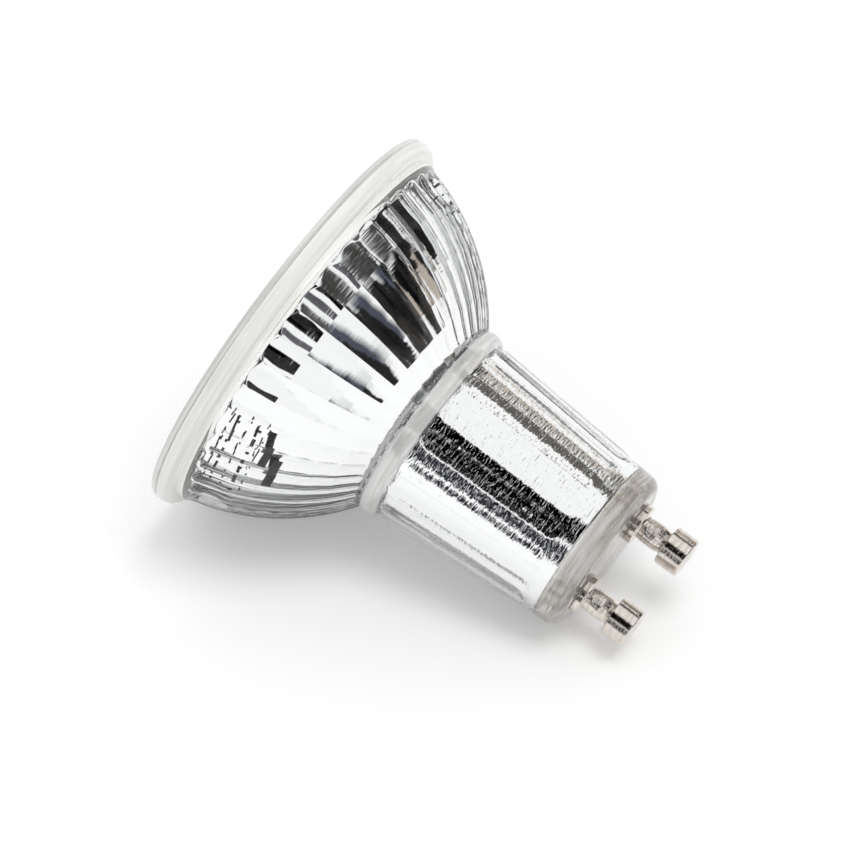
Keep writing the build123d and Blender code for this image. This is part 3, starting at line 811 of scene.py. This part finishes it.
# Second tones round some parts. Each end is a share of the part's height, and millimetres added to it
bands = {
    "leds": {"tone": (0.93, 0.72, 0.10, 1), "ends": ((0, -1.0), (0.3, 0.0))},  # phosphor in front
    "bulk_capacitor": {"tone": (0.75, 0.75, 0.77, 1), "ends": ((0, -1.0), (0, 0.4))},  # bare aluminium end
    "fuse_resistor": {"tone": (0.45, 0.05, 0.04, 1), "ends": ((0.5, -0.4), (0.5, 0.4))},  # colour ring
}


def dressInnerParts():
    for node, values in innerParts.items():
        material, tree, shader, finish = makeFinish(camelName(node) + "Finish", **values)
        if node in bands:
            low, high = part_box(node)
            ends = [low.z + (high.z - low.z) * share + more * mm for share, more in bands[node]["ends"]]
            addBand(tree, shader, finish, bands[node]["tone"], *ends)
        dress(node, material)
    wireFinish = makeFinish("tinnedWire", **wires)[0]
    for node in wireNodes:
        dress(node, wireFinish)


dressInnerParts()
print("stage: inner parts")


# Camera at the photograph's angle, rolled so that the pins point down to the right
shot = {
    "elevation": 7.11, "azimuth": 278.0, "axisAngle": -36.63, "across": 0.69, "height": 21.55,
    "distance": 808.3, "focalPixels": 7203.0, "framePixels": 868.0, "sensor": 36.0, "nearest": 0.01,
}


def makeCamera():
    lift, turn, lean = (math.radians(shot[key]) for key in ("elevation", "azimuth", "axisAngle"))
    back = Vector((math.cos(lift) * math.cos(turn), math.cos(lift) * math.sin(turn), math.sin(lift)))
    axis = (Vector((0, 0, 1)) - back * back.z).normalized()
    side = back.cross(axis)
    right = math.cos(lean) * axis - math.sin(lean) * side
    up = math.sin(lean) * axis + math.cos(lean) * side
    target = Vector((-math.sin(turn), math.cos(turn), 0)) * shot["across"] * mm
    target += Vector((0, 0, shot["height"] * mm))
    place = target + back * shot["distance"] * mm
    data = bpy.data.cameras.new("photoCamera")
    data.sensor_width = shot["sensor"]
    data.lens = shot["focalPixels"] * shot["sensor"] / shot["framePixels"]
    data.clip_start = shot["nearest"]
    camera = bpy.data.objects.new("photoCamera", data)
    rows = [(right[i], up[i], back[i], place[i]) for i in range(3)]
    camera.matrix_world = Matrix(rows + [(0, 0, 0, 1)])
    bpy.context.scene.collection.objects.link(camera)
    bpy.context.scene.camera = camera
    return right, up, back


cameraRight, cameraUp, cameraBack = makeCamera()
print("stage: camera")


# One for a ray of any of the named kinds, otherwise zero
def anyRay(tree, rays, kinds):
    found = rays.outputs[kinds[0]]
    for index, kind in enumerate(kinds[1:]):
        either = addNode(tree, "ShaderNodeMath", (-600 + 200 * index, -200), operation="MAXIMUM")
        tree.links.new(found, either.inputs[0])
        tree.links.new(rays.outputs[kind], either.inputs[1])
        found = either.outputs[0]
    return found


# The white table under the lamp, which touches the rim and just clears the edge of the base. To the
# camera, gloss and glass it glows a little, and from below it is clear
table = {"cameraLift": 45.6, "size": 1.2, "white": 0.9, "rough": 0.9, "glow": 0.15}


def makeTableWhite():
    material, tree, shader = newMaterial("tableWhite")
    shader.inputs["Base Color"].default_value = (table["white"],) * 3 + (1,)
    shader.inputs["Roughness"].default_value = table["rough"]
    shader.inputs["Emission Color"].default_value = (1, 1, 1, 1)
    rays = addNode(tree, "ShaderNodeLightPath", (-800, -200))
    direct = anyRay(tree, rays, ("Is Camera Ray", "Is Glossy Ray", "Is Transmission Ray"))
    glow = addNode(tree, "ShaderNodeMath", (-200, -200), operation="MULTIPLY")
    glow.inputs[1].default_value = table["glow"]
    tree.links.new(direct, glow.inputs[0])
    tree.links.new(glow.outputs[0], shader.inputs["Emission Strength"])
    geometry = addNode(tree, "ShaderNodeNewGeometry", (-400, 300))
    clear = addNode(tree, "ShaderNodeBsdfTransparent", (0, 300))
    mix = addNode(tree, "ShaderNodeMixShader", (300, 200))
    tree.links.new(geometry.outputs["Backfacing"], mix.inputs["Fac"])
    tree.links.new(shader.outputs[0], mix.inputs[1])
    tree.links.new(clear.outputs[0], mix.inputs[2])
    tree.links.new(mix.outputs[0], tree.nodes["Material Output"].inputs["Surface"])
    return material


def makeTable():
    lift = math.radians(table["cameraLift"])
    normal = (cameraUp * math.cos(lift) + cameraBack * math.sin(lift)).normalized()
    across = cameraRight.normalized()
    along = normal.cross(across)
    half = table["size"] / 2
    middle = normal * min(v.co.dot(normal) for v in glassBody.data.vertices)
    corners = [middle + across * x * half + along * y * half for x, y in ((-1, -1), (1, -1), (1, 1), (-1, 1))]
    mesh = bpy.data.meshes.new("table")
    mesh.from_pydata([tuple(corner) for corner in corners], [], [(0, 1, 2, 3)])
    mesh.update()
    mesh.materials.append(makeTableWhite())
    floor = bpy.data.objects.new("table", mesh)
    bpy.context.scene.collection.objects.link(floor)
    return normal


tableNormal = makeTable()
print("stage: table")


# The studio that gloss and glass see: white all round, with cards and walls painted over it in this
# order. Each has its turn from -Y towards +X, its lift above level, its width and height from the
# middle to the edge and its soft edge, all in degrees, and its tone
cards = {
    "paleHigh": (30, 66, 24, 9, 5, (0.80, 0.82, 0.80)),
    "paleSide": (60, 38, 9, 9, 4, (0.74, 0.76, 0.74)),
    "paleLow": (88, 24, 10, 9, 4, (0.70, 0.72, 0.70)),
    "greyWall": (-66, 46, 20, 20, 4, (0.03, 0.027, 0.024)),
    "lowWall": (-46, 22, 27, 6, 3, (0.05, 0.048, 0.045)),
    "beigeCard": (-92, 32, 9, 12, 4, (0.50, 0.44, 0.38)),
    "sideCard": (-92, 14, 17, 14, 2, (0.01, 0.01, 0.01)),
    "shade": (-28, 47, 17, 24, 11, (0.06, 0.065, 0.09)),
    "tallCard": (-45, 54, 11, 18, 2, (0.0, 0.0, 0.0)),
    "lowCard": (-64, 37, 16, 9, 2, (0.003, 0.003, 0.003)),
    "beigeWall": (-100, -10, 16, 12, 4, (0.62, 0.56, 0.50)),
    "curtain": (-68, -8, 8, 20, 1.5, (0.11, 0.10, 0.09)),
    "sideStand": (49, 0, 16, 13, 1, (0.02, 0.02, 0.03)),
    "cameraStand": (9, -10, 18, 24, 1.5, (0.0, 0.0, 0.0)),
    "smallCard": (-5, 22, 6, 6.5, 2, (0.10, 0.10, 0.11)),
    "frontCard": (21, 22, 10.5, 6.5, 1.2, (0.0, 0.0, 0.0)),
}


# One flat card seen from the lamp, painted over what is behind it
def makeCardGroup():
    group, start, end = newGroup("studioCard", [
        ("Facing", "INPUT", "NodeSocketVector", None),
        ("Across", "INPUT", "NodeSocketVector", None),
        ("Up", "INPUT", "NodeSocketVector", None),
        ("Half Width", "INPUT", "NodeSocketFloat", 0.2),
        ("Half Height", "INPUT", "NodeSocketFloat", 0.2),
        ("Edge", "INPUT", "NodeSocketFloat", 0.03),
        ("Tone", "INPUT", "NodeSocketColor", (0, 0, 0, 1)),
        ("Behind", "INPUT", "NodeSocketColor", (1, 1, 1, 1)),
        ("Color", "OUTPUT", "NodeSocketColor", None),
    ])
    coords = addNode(group, "ShaderNodeTexCoord", (-1400, 0))
    dots = {}
    for place, name in ((300, "Facing"), (100, "Across"), (-100, "Up")):
        dots[name] = addNode(group, "ShaderNodeVectorMath", (-1200, place), operation="DOT_PRODUCT")
        group.links.new(coords.outputs["Generated"], dots[name].inputs[0])
        group.links.new(start.outputs[name], dots[name].inputs[1])
    front = addNode(group, "ShaderNodeMath", (-1000, 300), operation="GREATER_THAN")
    front.inputs[1].default_value = 0.0
    group.links.new(dots["Facing"].outputs["Value"], front.inputs[0])
    mask = front.outputs[0]
    for place, name, limit in ((100, "Across", "Half Width"), (-100, "Up", "Half Height")):
        flat = addNode(group, "ShaderNodeMath", (-1000, place), operation="DIVIDE")
        reach = addNode(group, "ShaderNodeMath", (-850, place), operation="ABSOLUTE")
        within = addNode(group, "ShaderNodeMath", (-700, place), operation="SUBTRACT")
        soft = addNode(group, "ShaderNodeMath", (-550, place), operation="DIVIDE", use_clamp=True)
        both = addNode(group, "ShaderNodeMath", (-400, place), operation="MULTIPLY")
        group.links.new(dots[name].outputs["Value"], flat.inputs[0])
        group.links.new(dots["Facing"].outputs["Value"], flat.inputs[1])
        group.links.new(flat.outputs[0], reach.inputs[0])
        group.links.new(start.outputs[limit], within.inputs[0])
        group.links.new(reach.outputs[0], within.inputs[1])
        group.links.new(within.outputs[0], soft.inputs[0])
        group.links.new(start.outputs["Edge"], soft.inputs[1])
        group.links.new(soft.outputs[0], both.inputs[0])
        group.links.new(mask, both.inputs[1])
        mask = both.outputs[0]
    painted = addNode(group, "ShaderNodeMix", (0, 0), data_type="RGBA")
    group.links.new(mask, painted.inputs[0])
    group.links.new(start.outputs["Behind"], mixInput(painted, "A"))
    group.links.new(start.outputs["Tone"], mixInput(painted, "B"))
    group.links.new(mixResult(painted), end.inputs["Color"])
    return group


# Paints the cards one over the other and returns the colour seen in each direction
def placeCards(tree):
    studioCard = makeCardGroup()
    seen = None
    for index, (name, (*angles, tone)) in enumerate(cards.items()):
        turn, lift, width, height, edge = map(math.radians, angles)
        facing = Vector((math.sin(turn) * math.cos(lift), -math.cos(turn) * math.cos(lift), math.sin(lift)))
        across = Vector((math.cos(turn), math.sin(turn), 0))
        node = addNode(tree, "ShaderNodeGroup", (180 * index - 3400, 0), node_tree=studioCard, label=name)
        node.inputs["Facing"].default_value = facing
        node.inputs["Across"].default_value = across
        node.inputs["Up"].default_value = facing.cross(across)
        node.inputs["Half Width"].default_value = math.tan(width)
        node.inputs["Half Height"].default_value = math.tan(height)
        node.inputs["Edge"].default_value = edge
        node.inputs["Tone"].default_value = tone + (1,)
        if seen:
            tree.links.new(seen, node.inputs["Behind"])
        seen = node.outputs["Color"]
    return seen


# Dull surfaces and the table get light from all round and from one soft lamp over the camera's shoulder
light = {"strength": 0.95, "angle": 25, "across": 0.3, "back": 0.5, "allRound": 0.76}


def makeLamp():
    data = bpy.data.lights.new("softLamp", "SUN")
    data.energy = light["strength"]
    data.angle = math.radians(light["angle"])
    lamp = bpy.data.objects.new("softLamp", data)
    toward = tableNormal + cameraRight * light["across"] + cameraBack * light["back"]
    lamp.matrix_world = toward.to_track_quat("Z", "Y").to_matrix().to_4x4()
    lamp.visible_glossy = False
    lamp.visible_transmission = False
    bpy.context.scene.collection.objects.link(lamp)


# Gloss and glass see the cards, the camera sees plain white, and dull surfaces get an even grey
def makeStudio():
    world = bpy.data.worlds.new("studio")
    bpy.context.scene.world = world
    world.use_nodes = True
    tree = world.node_tree
    seen = placeCards(tree)
    rays = addNode(tree, "ShaderNodeLightPath", (-400, 400))
    shiny = anyRay(tree, rays, ("Is Glossy Ray", "Is Transmission Ray"))
    shown = addNode(tree, "ShaderNodeMix", (0, 200), data_type="RGBA")
    mixInput(shown, "A").default_value = (light["allRound"],) * 3 + (1,)
    tree.links.new(shiny, shown.inputs[0])
    tree.links.new(seen, mixInput(shown, "B"))
    plain = addNode(tree, "ShaderNodeMix", (200, 300), data_type="RGBA")
    mixInput(plain, "B").default_value = (1, 1, 1, 1)
    tree.links.new(rays.outputs["Is Camera Ray"], plain.inputs[0])
    tree.links.new(mixResult(shown), mixInput(plain, "A"))
    tree.links.new(mixResult(plain), tree.nodes["Background"].inputs["Color"])
    tree.nodes["Background"].inputs["Strength"].default_value = 1.0


makeLamp()
makeStudio()
print("stage: studio")

bpy.context.scene.view_settings.view_transform = "Standard"
bpy.context.scene.cycles.max_bounces = 16  # light crosses the mirrored glass many times
bpy.context.scene.cycles.glossy_bounces = 12
bpy.context.scene.cycles.transmission_bounces = 16
